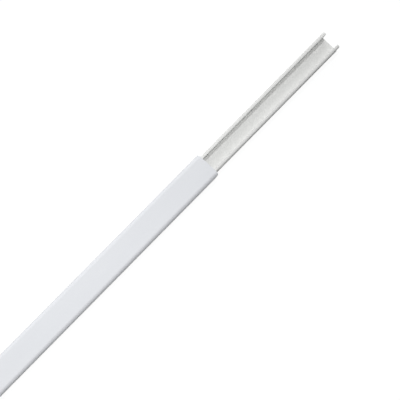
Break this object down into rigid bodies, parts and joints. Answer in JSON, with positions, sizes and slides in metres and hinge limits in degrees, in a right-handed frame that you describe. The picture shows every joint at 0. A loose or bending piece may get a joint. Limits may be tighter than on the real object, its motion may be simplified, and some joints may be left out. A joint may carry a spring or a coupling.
{
  "type": "cord cover raceway",
  "caption": "Straight white PVC raceway for hiding cords: a U-shaped stick-on base channel and a square cover that slides along it on ribs under the base's top beads.",
  "frame": {"origin": "middle of the stick-on back, on the face that lies on the floor or goes on the wall", "axes": "+X along the stock towards the end where the base stands out of the cover, +Y across it, +Z from the back towards the cover's top"},
  "size_m": [0.544, 0.02, 0.011],
  "materials": {
    "base_pvc": "satin, extruded",
    "cover_pvc": "satin, extruded",
    "tape_foam": "matt, tacky",
    "liner_paper": "waxed, slightly glossy"
  },
  "bodies": {
    "base": {"base_channel": "base_pvc", "adhesive_tape": "tape_foam", "release_liner": "liner_paper"},
    "cover": {"slide_cover": "cover_pvc"}
  },
  "joints": [
    {"name": "cover_slide", "type": "slide", "parent": "base", "child": "cover", "axis": [1, 0, 0], "range_m": [-0.256, 0.144]}
  ]
}
